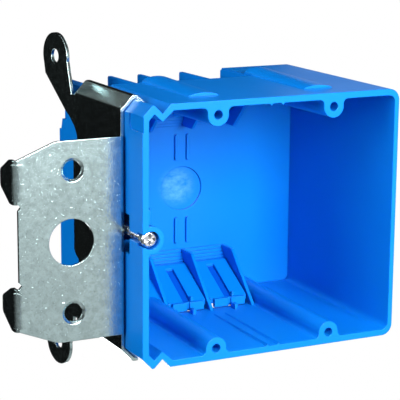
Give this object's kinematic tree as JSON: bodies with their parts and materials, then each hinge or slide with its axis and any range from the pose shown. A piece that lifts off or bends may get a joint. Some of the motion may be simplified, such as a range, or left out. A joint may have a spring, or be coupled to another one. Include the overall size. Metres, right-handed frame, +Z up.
{
  "type": "adjustable switch box",
  "caption": "Open moulded electrical box with cable clamps that slides in a folded steel stud bracket, moved by an adjusting screw.",
  "frame": {"origin": "centre of the four device-screw bosses, on the plane of the open rim", "axes": "+X to the right seen from the room, +Y into the wall, +Z up"},
  "size_m": [0.1431, 0.0793, 0.1278],
  "materials": {
    "moulded_plastic": "smooth semi-gloss blue moulding",
    "galvanised_sheet": "zinc-coated sheet steel, mottled",
    "plated_screw": "bright zinc plating",
    "plated_ring": "bright zinc plating"
  },
  "bodies": {
    "bracket": {"bracket": "galvanised_sheet"},
    "box": {"box": "moulded_plastic"},
    "screw": {"adjusting_screw": "plated_screw", "screw_retainer": "plated_ring"}
  },
  "joints": [
    {"name": "box_slide", "type": "slide", "parent": "bracket", "child": "box", "axis": [0, 1, 0], "range_m": [-0.0243, 0.0125]},
    {"name": "screw_spin", "type": "hinge", "parent": "box", "child": "screw", "pos_m": [-0.0483, 0, 0], "axis": [0, 1, 0], "range_deg": [-11060, 5700]}
  ],
  "couplings": [
    {"joint": "screw_spin", "follows": "box_slide", "rad_per_m": 7913.3}
  ]
}
